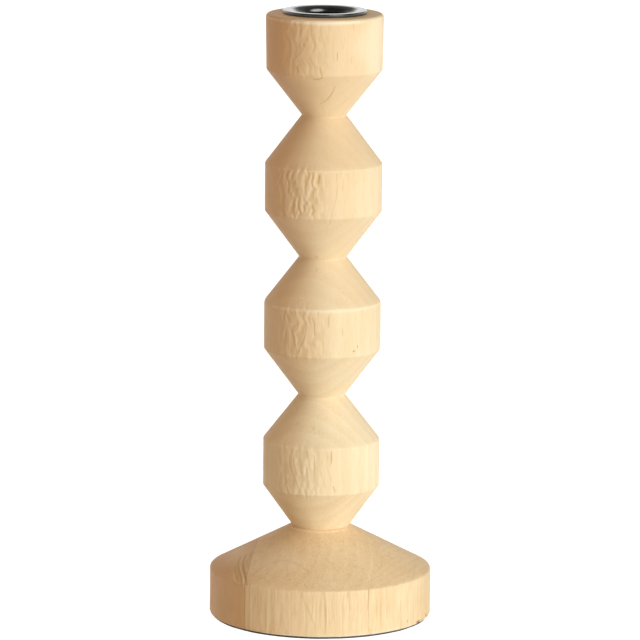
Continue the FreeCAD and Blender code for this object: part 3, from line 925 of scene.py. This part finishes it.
def felt_material(top):
    """Pressed felt of dark mixed fibres, with the pale film that it is glued on with up to that top."""
    look = sizes("finish")
    material, tree = bare_material("Pressed Felt")
    place = object_place(tree)
    fibre = noise(tree, place, FELT_FIBRE_SCALE, detail=3.0)
    tone = times(tree, fibre, noise(tree, place, FELT_PATCH_SCALE))
    dark, light = (shaded(look.felt, share) for share in FELT_SHADES)
    colour = mix_colours(tree, spread(tree, tone, *FELT_TONE), dark, light)
    film = spread(tree, axes(tree, place)["Z"], top - look.film_thickness,
                  top - look.film_thickness * FILM_EDGE)
    colour = mix_colours(tree, film, colour, look.film)
    add_shader(tree, colour, spread(tree, fibre, *FELT_ROUGHNESS), fibre, FELT_BUMP,
               Sheen_Weight=0.4, Sheen_Roughness=0.5, Specular_IOR_Level=0.15)
    return material


def finished(piece, material, slot, body, *nodes):
    """Gives a piece its material and the body it rides on, and hides the nodes it stands for. The slot is not
    used.
    """
    piece.data.materials.append(material)
    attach(piece, body)
    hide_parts(*nodes)


def stem_outline():
    """Corners of the spindle: pilot hole, tenon, three faceted beads, the head and the cup's socket."""
    size = sizes("stem")
    seat = base_high.z
    tenon_foot = stem_low.z
    pilot_top = screw_high.z + size.pilot_room
    corners = [
        (0, pilot_top, 0),
        (size.pilot_radius, pilot_top - sizes("metal").screw_tip, CRISP),
        (size.pilot_radius, tenon_foot, CRISP),
        (size.tenon_radius, tenon_foot, size.edge_round),
        (size.tenon_radius, seat, CRISP),
        (size.neck_radii[0], seat, CRISP),
    ]
    level = seat
    shoulders = (size.edge_round, size.worn_round, size.edge_round)
    beads = (size.low_bead, size.middle_bead, size.high_bead)
    for bead, shoulder, neck in zip(beads, shoulders, size.neck_radii[1:]):
        lower_cone, band, upper_cone = bead
        level += lower_cone
        corners.append((size.bead_radius, level, size.edge_round))
        level += band
        corners.append((size.bead_radius, level, shoulder))
        level += upper_cone
        corners.append((neck, level, size.neck_round))
    rim = stem_high.z
    socket_floor = rim - size.socket_depth
    return corners + [
        (size.head_foot_radius, level + size.head_cone, size.edge_round),
        (stem_high.x, rim, size.rim_round),
        (size.socket_radius, rim, size.socket_round),
        (size.socket_radius, socket_floor, CRISP),
        (0, socket_floor, 0),
    ]


def stem_relief(outline, turn):
    """Rippled figure left by the plane of the fibres: wavy strokes along Z, raised on the bands.

    The strokes are noise whose cells are narrow round the stem and long along it, moved sideways by a
    second noise and sharpened by a hyperbolic tangent. They fade out on the cones, which are the
    narrower radii, and round the stem on the smooth faces of the plank, by the cosine of twice the turn
    from the figured face. The second result is the darkness of the hollows between the strokes.
    """
    band = sizes("stem").bead_radius
    radius, height = outline[:, :1], outline[:, 1:]
    cells = round(FULL_TURN * band / STROKE_WIDTH)
    around = turn / FULL_TURN * cells
    along = height / STROKE_LENGTH
    sway = lattice_noise(around / SWAY_WIDTH, along * SWAY_RATE, cells, SWAY_SEED)
    stroke = lattice_noise(around + sway * SWAY, along, cells, STROKE_SEED)
    stroke = np.tanh(stroke * STROKE_CONTRAST)
    on_band = smooth_step(radius, *(band - inside for inside in BAND_FADE))
    on_face = smooth_step(np.cos(2 * (turn - FIGURE_TURN)), *FACE_FADE)
    calm = HEAD_CALM * smooth_step(height, *(stem_high.z - below for below in HEAD_FADE))
    calm = calm + LOW_CALM * (1 - smooth_step(height, *LOW_FADE))
    shown = on_band * (1 - calm)
    darkness = FIGURE_DARKNESS * smooth_step(-stroke, *HOLLOW_FADE) * shown * on_face
    relief = stroke * sizes("finish").relief * shown
    return relief * (FACE_LEAST + (1 - FACE_LEAST) * on_face), darkness


class CANDLESTAND_OT_stem(bpy.types.Operator):
    """Turns the spindle with its beads, and gives it its wood"""
    bl_idname = "candle_stand.stem"
    bl_label = "Stem"

    def execute(self, context):
        # A step for each side: five hidden ones, the beads, the head, the rim and the socket
        steps = [HIDDEN_STEP] * 5 + [CONE_STEP, FINE_STEP, CONE_STEP] * 3 + [FINE_STEP] * 2
        steps += [CONE_STEP] + [HIDDEN_STEP] * 2
        outline = rounded_outline(stem_outline(), steps)
        height = outline[:, 1]
        rows = np.arange(len(outline))
        outside = (rows > np.argmin(height)) & (rows < np.argmax(height)) & (height > base_high.z)
        surface = outline[outside]
        turn = turn_columns(STEM_COLUMNS)
        veins, relief, painted_light = np.zeros((3, len(outline), turn.size))
        veins[outside], cuts = drawn_lines(STEM_VEINS_AND_SHADE, turn, surface[:, :1], surface[:, 1:], surface)
        # Painted highlights and painted light on the stem, and painted light on the head's top face
        painted_light[outside] = drawn_lines(STEM_PAINTED_LIGHT, turn, surface[:, :1], surface[:, 1:], surface)[0]
        painted_light[height > stem_high.z - CRISP] = TOP_FACE_PAINTED_LIGHT
        raised, hollows = stem_relief(surface, turn)
        relief[outside] = raised - cuts
        veins[outside] = np.maximum(veins[outside], hollows)
        points = turned(outline[1:-1, :1] + relief[1:-1], outline[1:-1, 1:], turn)
        piece = grid_mesh("stem_turned", points, low_pole=height[0], high_pole=height[-1],
                          fields={"vein_and_shade": veins[1:-1], "painted_light": painted_light[1:-1]})
        look = sizes("finish")
        wood = wood_material("Stem Wood", look.pale_wood, look.head_wood, pith=(0.018, 0.045, 0),
                             ring_spacing=0.0045, shift=(0, 0, 0), streaks=0.21, left_shade_and_red_wood=(0.4, 1.0))
        finished(piece, wood, "stem_wood", STAND, "stem")
        return {"FINISHED"}


def slope_height(radius):
    """Height of the base's sloping top: a cone from the neck at the stem's seat down to the rim."""
    neck = sizes("stem").neck_radii[0]
    rim_top = base_low.z + sizes("base").rim_height
    return base_high.z - (radius - neck) / (base_high.y - neck) * (base_high.z - rim_top)


def rim_outline():
    """Radius and height up the rim, from the underside over the two rounded edges to the slope."""
    base = sizes("base")
    foot, reach = base_low.z, base_high.y
    inner = reach * RIM_INNER
    corners = [
        (inner, foot, 0),
        (reach, foot, base.foot_round),
        (reach, foot + base.rim_height, base.rim_round),
        (inner, slope_height(inner), 0),
    ]
    outline = rounded_outline(corners, BASE_STEP)
    low = outline[:, 1] < foot + base.rim_height / 2
    kept = np.where(low, base.foot_round * RIM_FOOT_ROWS, base.rim_round * RIM_TOP_ROWS)
    return outline[outline[:, 0] >= reach - kept]


def centre_grid(rim):
    """Radius, height and turn of the middle board.

    The rows go up the rim, in over the slope, down the bore and out across the underside. The rim is
    round at the front and the back. Along the glue faces the radius is half the board's width / |sin t|
    for a turn of t from the front, and the rim's rows are stretched up to the slope's height there.
    """
    base = sizes("base")
    foot, seat = base_low.z, base_high.z
    neck = sizes("stem").neck_radii[0]
    half_core = base.core_width / 2
    corner = math.degrees(math.asin(half_core / base_high.y))
    turn = turn_columns((
        (-corner, corner, RIM_COLUMNS), (corner, 180 - corner, GLUED_COLUMNS),
        (180 - corner, 180 + corner, RIM_COLUMNS // 2), (180 + corner, 360 - corner, GLUED_COLUMNS)))
    flat = np.zeros(turn.size)
    edge = np.minimum(base_high.y, half_core / np.maximum(np.abs(np.sin(turn)), TINY))
    edge_top = np.minimum(rim[-1, 0], edge)
    lift = (slope_height(edge_top) - foot) / (slope_height(rim[-1, 0]) - foot)
    slope = edge_top + (neck - edge_top) * np.linspace(0, 1, SLOPE_ROWS + 1)[1:, None]
    bore = rounded_outline([
        (neck, seat, 0),
        (base.mortise_radius, seat, CRISP),
        (base.mortise_radius, seat - base.mortise_depth, CRISP),
        (base.screw_hole_radius, seat - base.mortise_depth, CRISP),
        (base.screw_hole_radius, foot + base.counterbore_depth, CRISP),
        (base.counterbore_radius, foot + base.counterbore_depth, CRISP),
        (base.counterbore_radius, foot, CRISP),
        (base.counterbore_radius + BASE_STEP, foot, 0),
    ], BASE_STEP * 2)[1:]
    inner = bore[-1, 0]
    under = np.linspace(0, 1, UNDER_ROWS + 1)[1:-1, None]
    under = inner + (np.minimum(rim[0, 0], edge) - inner) * under
    radius = np.concatenate([np.minimum(rim[:, :1], edge), slope, bore[:, :1] + flat, under])
    height = np.concatenate([
        foot + (rim[:, 1:] - foot) * lift, slope_height(slope), bore[:, 1:] + flat, foot + 0 * under])
    return radius, height, turn - base.glue_turn


def side_grid(rim, side):
    """Radius, height and turn of a side block. The side is -1 for the left one and 1 for the right one.

    The rows go up the rim, in over the slope, down the glue face and out across the underside. The glue
    face's radius is half the middle board's width / cos t for a turn of t from the block's middle. No
    row goes inside it, and none is higher than the outline is there.
    """
    base = sizes("base")
    foot, top = base_low.z, rim[-1, 0]
    half_core = base.core_width / 2
    widest = math.acos(half_core / (base_high.y - CRISP))
    swing = np.linspace(-widest, widest, SIDE_COLUMNS)
    inner = half_core / np.cos(swing)
    share = np.linspace(0, 1, SIDE_ROWS + 1)[:, None]
    slope = (inner + (np.maximum(top, inner) - inner) * (1 - share))[1:]
    shoulder = rim[rim[:, 1] > foot + base.rim_height / 2][::-1]
    shoulder_height = np.interp(inner, shoulder[:, 0], shoulder[:, 1])
    seam_top = np.where(inner > top, shoulder_height, slope_height(inner))
    seam = (seam_top + (foot - seam_top) * share)[1:]
    under = (inner + (np.maximum(rim[0, 0], inner) - inner) * share)[1:-1]
    radius = np.concatenate([np.maximum(rim[:, :1], inner), slope, inner + 0 * seam, under])
    height = np.concatenate([
        np.minimum(rim[:, 1:], shoulder_height), np.minimum(slope_height(slope), seam_top), seam,
        foot + 0 * under])
    return radius, height, side * math.pi / 2 - base.glue_turn + swing


def base_surface(grid, rim_rows, slope_rows):
    """Points of a base block with its wood's relief, and its drawn lines, painted highlights and painted
    light as fields.

    The rim has upright streaks, noise that is narrow round the base and long up it, times a strength
    that a wider noise changes, sunk into the wood. The slope is mottled by two noises laid out over X
    and Y. The drawn lines are cut inwards on the rim and downwards on the slope.
    """
    radius, height, turn = grid
    foot, reach = base_low.z, base_high.y
    neck = sizes("stem").neck_radii[0]
    outline = np.array([(reach, foot), (reach, foot + sizes("base").rim_height), (neck, base_high.z)])
    rim, slope = slice(0, rim_rows), slice(rim_rows, rim_rows + slope_rows)
    shown = slice(0, rim_rows + slope_rows)
    veins, painted_light = np.zeros((2, *radius.shape))
    veins[shown], cuts = drawn_lines(BASE_VEINS, turn, radius[shown], height[shown], outline)
    painted_light[shown] = drawn_lines(BASE_PAINTED_LIGHT, turn, radius[shown], height[shown], outline)[0]

    cells = round(FULL_TURN * reach / STREAK_WIDTH)
    up = height[rim] / STREAK_LENGTH
    streak = ring_noise(turn, up, cells, STREAK_SEED)
    change = ring_noise(turn, up * CHANGE_RATE, cells // CHANGE_WIDTH, CHANGE_SEED)
    streak = streak * (STREAK_MEAN + STREAK_CHANGE * change)
    on_rim = smooth_step(radius[rim], *(reach - inside for inside in RIM_FADE))

    across = radius[slope] * np.sin(turn) / MOTTLE_SIZE
    deep = -radius[slope] * np.cos(turn) / MOTTLE_SIZE
    mottle = sum(lattice_noise(across * wide, deep * long, MOTTLE_CELLS, seed) * strength
                 for wide, long, strength, seed in MOTTLES)
    on_slope = smooth_step(reach - radius[slope], *SLOPE_FADE)
    on_slope = on_slope * smooth_step(radius[slope], neck, neck + NECK_FADE)

    look = sizes("finish")
    radius[rim] -= cuts[rim] + (1 - streak) * look.rim_relief * on_rim
    height[slope] -= cuts[slope] + (1 - mottle) * look.slope_relief * on_slope
    rim_hollows = RIM_DARKNESS * smooth_step(-streak, *BASE_HOLLOW_FADE) * on_rim
    slope_hollows = MOTTLE_DARKNESS * smooth_step(-mottle, *BASE_HOLLOW_FADE) * on_slope
    veins[shown] = np.maximum(veins[shown], np.concatenate([rim_hollows, slope_hollows]))
    return turned(radius, height, turn), {"vein_and_shade": veins, "painted_light": painted_light}


class CANDLESTAND_OT_base(bpy.types.Operator):
    """Turns the base and parts it at its two glue faces"""
    bl_idname = "candle_stand.base"
    bl_label = "Base"

    def execute(self, context):
        look = sizes("finish")
        rim = rim_outline()
        points, fields = base_surface(centre_grid(rim), len(rim), SLOPE_ROWS)
        piece = grid_mesh("base_centre", points, wrap_rows=True, fields=fields)
        wood = wood_material("Core Wood", look.base_wood, look.base_wood, pith=(-0.03, -0.02, 0),
                             ring_spacing=0.005, shift=(0, 0, 0.3), streaks=0.5, left_shade_and_red_wood=(0.22, 0.22), glue=0.1)
        finished(piece, wood, "base_core_wood", STAND, "base_centre_block")
        for name, side, pith, colour, left_shade_and_red_wood, glue in (
                ("base_left", -1, (0.06, 0.01, 0), look.side_wood, (0.8, 0.8), 0.35),
                ("base_right", 1, (-0.05, 0.02, 0), look.base_wood, (0, 0), 0.06)):
            points, fields = base_surface(side_grid(rim, side), len(rim), SIDE_ROWS)
            piece = grid_mesh(name, points, wrap_rows=True, wrap_columns=False, fields=fields)
            wood = wood_material(name + "_wood", colour, colour, pith, ring_spacing=0.0024,
                                 shift=(0, 0, 0.6), streaks=0.5, left_shade_and_red_wood=left_shade_and_red_wood, glue=glue)
            finished(piece, wood, "base_side_wood", STAND, name + "_block")
        return {"FINISHED"}


class CANDLESTAND_OT_cup(bpy.types.Operator):
    """Draws the black cup with its flange"""
    bl_idname = "candle_stand.cup"
    bl_label = "Candle Cup"

    def execute(self, context):
        metal = sizes("metal")
        wall = metal.cup_wall
        inner = metal.cup_radius
        outer = inner + wall
        rim = cup_high.x
        top = cup_high.z
        floor = cup_low.z + wall
        corners = [
            (0, floor, 0),
            (inner, floor, metal.floor_round),
            (inner, top, metal.lip_round),
            (rim, top, wall * FLANGE_ROUND),
            (rim, top - metal.flange_height, CRISP),
            (rim - wall, top - metal.flange_height, CRISP),
            (rim - wall, top - wall, CRISP),
            (outer, top - wall, metal.lip_round - wall),
            (outer, cup_low.z, metal.floor_round + wall),
            (0, cup_low.z, 0),
        ]
        outline = rounded_outline(corners, CUP_STEP)[::-1]
        points = turned(outline[1:-1, :1], outline[1:-1, 1:], even_turns(CUP_COLUMNS))
        piece = grid_mesh("cup_drawn", points, low_pole=outline[0, 1], high_pole=outline[-1, 1])
        finished(piece, enamel_material(), "black_cup", CUP, "candle_cup")
        return {"FINISHED"}


def threaded_screw():
    """The wood screw, head down, with its thread and cross recess.

    The thread's crest is 1 - |p - 1/2| * slope, with p the share of a pitch that the place is past its
    last turn. It starts above the plain shank and ends along the tip. The recess is cut where the lesser
    of |x| and |y| is within half the width of an arm, as far as the arms reach.
    """
    metal = sizes("metal")
    foot = screw_low.z
    seat = foot + metal.head_height
    head = screw_high.x
    core = metal.screw_radius - metal.thread_depth
    tip = screw_high.z - metal.screw_tip
    outline = rounded_outline([
        (0, foot, 0),
        (head, foot, metal.head_height * PAN_ROUND),
        (head, seat, CRISP),
        (core, seat, CRISP),
        (core, tip, metal.screw_radius),
        (0, screw_high.z, 0),
    ], THREAD_STEP)
    turn = even_turns(THREAD_COLUMNS)
    radius, height = outline[1:-1, :1], outline[1:-1, 1:]
    past = (height / metal.thread_pitch - turn / FULL_TURN) % 1
    crest = np.clip(1 - np.abs(past - 0.5) * THREAD_SLOPE, 0, 1)
    thread_foot = seat + metal.plain_shank
    starts = smooth_step(height, thread_foot, thread_foot + metal.thread_pitch)
    ends = 1 - smooth_step(height, tip + metal.screw_tip * TIP_START, screw_high.z)
    thread = metal.thread_depth * np.maximum(crest * starts, 1 - starts) * ends * (height > seat)
    across = np.minimum(np.abs(radius * np.sin(turn)), np.abs(radius * np.cos(turn)))
    arm = 1 - smooth_step(across, metal.recess_width, metal.recess_width * RECESS_FLARE)
    inside = 1 - smooth_step(radius, metal.recess_reach * RECESS_END, metal.recess_reach)
    recess = metal.recess_depth * arm * inside * (height < seat - CRISP)
    points = turned(np.minimum(radius + thread, head), height + recess, turn)
    return grid_mesh("screw_threaded", points, low_pole=foot + metal.recess_depth, high_pole=outline[-1, 1])


def stamped_washer():
    """The washer, a ring of rectangular section with eased edges, turned from the middle of its underside."""
    hole, outer = sizes("metal").washer_hole, washer_high.x
    low, high = washer_low.z, washer_high.z
    middle = ((hole + outer) / 2, low, 0)
    corners = [middle, (outer, low, CRISP), (outer, high, CRISP), (hole, high, CRISP), (hole, low, CRISP),
               middle]
    outline = rounded_outline(corners, WASHER_STEP)[:-1]
    points = turned(outline[:, :1], outline[:, 1:], even_turns(WASHER_COLUMNS))
    return grid_mesh("washer_stamped", points, wrap_rows=True)


class CANDLESTAND_OT_screw(bpy.types.Operator):
    """Cuts the wood screw with its thread and cross recess, and stamps the washer"""
    bl_idname = "candle_stand.screw"
    bl_label = "Screw and Washer"

    def execute(self, context):
        zinc = zinc_material()
        finished(threaded_screw(), zinc, "zinc_steel", STAND, "stem_screw")
        finished(stamped_washer(), zinc, "zinc_steel", STAND, "screw_washer")
        return {"FINISHED"}


class CANDLESTAND_OT_felt(bpy.types.Operator):
    """Cuts the felt disc under the base, with its slightly uneven edge and nap"""
    bl_idname = "candle_stand.felt"
    bl_label = "Felt Pad"

    def execute(self, context):
        radius = pad_high.x
        foot, top = pad_low.z, pad_high.z
        rounding = (top - foot) * FELT_ROUND
        corners = [(0, foot, 0), (radius, foot, rounding), (radius, top, rounding), (0, top, 0)]
        outline = rounded_outline(corners, FELT_STEP)
        turn = even_turns(FELT_COLUMNS)
        out, height = outline[1:-1, :1], outline[1:-1, 1:]
        # Two noises draw the edge in, and a third sinks the two faces
        near_edge = smooth_step(out, radius - FELT_EDGE, radius)
        wander = ring_noise(turn, height / (top - foot), WANDER_CELLS, WANDER_SEED)
        fuzz = ring_noise(turn, height / FUZZ_HEIGHT, FUZZ_CELLS, FUZZ_SEED)
        drawn_in = (WANDER_DEPTH * (1 - wander) + FUZZ_DEPTH * (1 - fuzz)) * near_edge
        nap = ring_noise(turn, out / NAP_LENGTH, NAP_CELLS, NAP_SEED)
        inwards = np.where(height < (foot + top) / 2, 1, -1)
        sunk = NAP_DEPTH * (1 + nap) * (1 - near_edge) * inwards
        points = turned(out - drawn_in, height + sunk, turn)
        pad = grid_mesh("felt_disc", points, low_pole=outline[0, 1], high_pole=outline[-1, 1])
        finished(pad, felt_material(top), "felt", STAND, "felt_pad")
        return {"FINISHED"}


def placed(name, data, turn, elevation, distance, roll=0.0):
    """A camera or lamp that looks at the middle of the wood from that turn, elevation and distance."""
    thing = bpy.data.objects.new(name, data)
    bpy.context.scene.collection.objects.link(thing)
    middle = Vector((0, 0, (base_low.z + stem_high.z) / 2))
    toward = Vector((
        math.sin(turn) * math.cos(elevation), -math.cos(turn) * math.cos(elevation), math.sin(elevation)))
    aim = toward.to_track_quat("Z", "Y").to_matrix().to_4x4()
    thing.matrix_world = Matrix.Translation(middle + toward * distance) @ aim @ Matrix.Rotation(roll, 4, "Z")
    return thing


def add_camera(stage):
    """The camera at the photograph's viewing angle."""
    lens = bpy.data.cameras.new("Camera")
    lens.lens = stage.lens
    lens.sensor_width = SENSOR_WIDTH
    lens.shift_x, lens.shift_y = stage.shift
    lens.clip_start = CLIP_START
    lens.clip_end = CLIP_END
    bpy.context.scene.camera = placed(
        "Camera", lens, 0, stage.camera_elevation, stage.camera_distance, stage.camera_roll)


def add_key_lamp(stage):
    """The wide lamp that gives the key light.

    Its power is key_light * pi * (pi * distance^2 + the lamp's area), which lights white that faces it
    to about key_light.
    """
    lamp = bpy.data.lights.new("Key", "AREA")
    lamp.shape = "RECTANGLE"
    lamp.size, lamp.size_y = stage.key_size
    lamp.color = stage.key_colour
    lamp.energy = stage.key_light * math.pi * (math.pi * stage.key_distance ** 2 + lamp.size * lamp.size_y)
    key = placed("Key", lamp, stage.key_turn, stage.key_elevation, stage.key_distance)
    key.visible_glossy = False


def seen_directly(tree, path):
    """Socket that is 1 for what the camera or a glossy surface sees, and 0 for what lights a surface."""
    return math_node(tree, "MAXIMUM", path["Is Camera Ray"], path["Is Glossy Ray"])


def add_floor(stage):
    """The pale floor, which glows white where it is seen, and keeps the stand's shadow."""
    side = np.array([-stage.floor_reach, stage.floor_reach])
    corners = np.stack(np.meshgrid(side, side), axis=-1)
    floor = grid_mesh("floor", np.dstack([corners, np.full((2, 2), -FLOOR_GAP)]), wrap_columns=False)
    material, tree = bare_material("Pale Floor")
    matt = add_node(tree, "ShaderNodeBsdfDiffuse", {"Color": opaque(stage.floor_colour)}).outputs[0]
    glow = add_node(tree, "ShaderNodeEmission", {"Color": (1, 1, 1, 1), "Strength": stage.floor_glow})
    lit = add_node(tree, "ShaderNodeAddShader", {0: matt, 1: glow.outputs[0]})
    seen = seen_directly(tree, add_node(tree, "ShaderNodeLightPath").outputs)
    mixed = add_node(tree, "ShaderNodeMixShader", {0: seen, 1: matt, 2: lit.outputs[0]})
    add_node(tree, "ShaderNodeOutputMaterial", {"Surface": mixed.outputs[0]})
    floor.data.materials.append(material)


def add_surround(stage):
    """The world: white where it is seen, a room with a window in gloss, and soft light from all round.

    The soft light is fill * (1 + lean * d . side) in the direction d, and never less than nothing.
    """
    world = bpy.data.worlds.new("Surround")
    bpy.context.scene.world = world
    world.use_nodes = True
    tree = world.node_tree
    tree.nodes.clear()
    path = add_node(tree, "ShaderNodeLightPath").outputs
    seen = math_node(tree, "MAXIMUM", seen_directly(tree, path), path["Is Transmission Ray"])
    direction = add_node(tree, "ShaderNodeTexCoord").outputs["Generated"]
    part = axes(tree, direction)

    ceiling = spread(tree, part["Z"], *CEILING_EDGE, 1.0, stage.ceiling_light)
    behind = spread(tree, part["Y"], *BEHIND_EDGE, stage.camera_side_light, 1.0)
    facing = vector_node(tree, "DOT_PRODUCT", direction, stage.window_side)
    window = times(tree, spread(tree, facing, *WINDOW_EDGE), stage.window_light)
    room = plus(tree, times(tree, ceiling, behind), window)
    room = math_node(tree, "MAXIMUM", room, path["Is Camera Ray"])

    lean = vector_node(tree, "DOT_PRODUCT", direction, stage.fill_side)
    lean = times(tree, lean, stage.fill_lean * stage.fill_light)
    soft = math_node(tree, "MAXIMUM", plus(tree, stage.fill_light, lean), 0.0)
    colour = mix_colours(tree, spread(tree, part["Z"], *SKY_EDGE), stage.fill_colour, stage.sky_colour)

    fill = add_node(tree, "ShaderNodeBackground", {"Color": colour, "Strength": soft})
    white = add_node(tree, "ShaderNodeBackground", {"Color": (1, 1, 1, 1), "Strength": room})
    mixed = add_node(tree, "ShaderNodeMixShader", {0: seen, 1: fill.outputs[0], 2: white.outputs[0]})
    add_node(tree, "ShaderNodeOutputWorld", {"Surface": mixed.outputs[0]})


class CANDLESTAND_OT_stage(bpy.types.Operator):
    """Sets the camera, the lamps, the white surround and the floor"""
    bl_idname = "candle_stand.stage"
    bl_label = "Stage"

    def execute(self, context):
        stage = sizes("stage")
        add_camera(stage)
        add_key_lamp(stage)
        add_floor(stage)
        add_surround(stage)
        context.scene.view_settings.view_transform = "Standard"
        return {"FINISHED"}


OPERATORS = (
    CANDLESTAND_OT_stem,
    CANDLESTAND_OT_base,
    CANDLESTAND_OT_cup,
    CANDLESTAND_OT_screw,
    CANDLESTAND_OT_felt,
    CANDLESTAND_OT_stage,
)


class CANDLESTAND_PT_panel(bpy.types.Panel):
    """Lists the steps that make the stand"""
    bl_idname = "CANDLESTAND_PT_panel"
    bl_label = "Candle Stand"
    bl_space_type = "VIEW_3D"
    bl_region_type = "UI"
    bl_category = "Candle Stand"

    def draw(self, context):
        for step in OPERATORS:
            self.layout.operator(step.bl_idname)


GROUPS = {
    "stem": StemSizes,
    "base": BaseSizes,
    "metal": MetalSizes,
    "finish": Finish,
    "stage": StageSettings,
}


def register():
    for name, group in GROUPS.items():
        bpy.utils.register_class(group)
        setattr(bpy.types.Scene, "candle_stand_" + name, PointerProperty(type=group))
    for step in (*OPERATORS, CANDLESTAND_PT_panel):
        bpy.utils.register_class(step)


def unregister():
    for step in (CANDLESTAND_PT_panel, *reversed(OPERATORS)):
        bpy.utils.unregister_class(step)
    for name, group in GROUPS.items():
        delattr(bpy.types.Scene, "candle_stand_" + name)
        bpy.utils.unregister_class(group)


def main():
    """Registers the classes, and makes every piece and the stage."""
    register()
    bpy.ops.candle_stand.stem()
    bpy.ops.candle_stand.base()
    bpy.ops.candle_stand.cup()
    bpy.ops.candle_stand.screw()
    bpy.ops.candle_stand.felt()
    bpy.ops.candle_stand.stage()


if __name__ == "__main__":
    main()
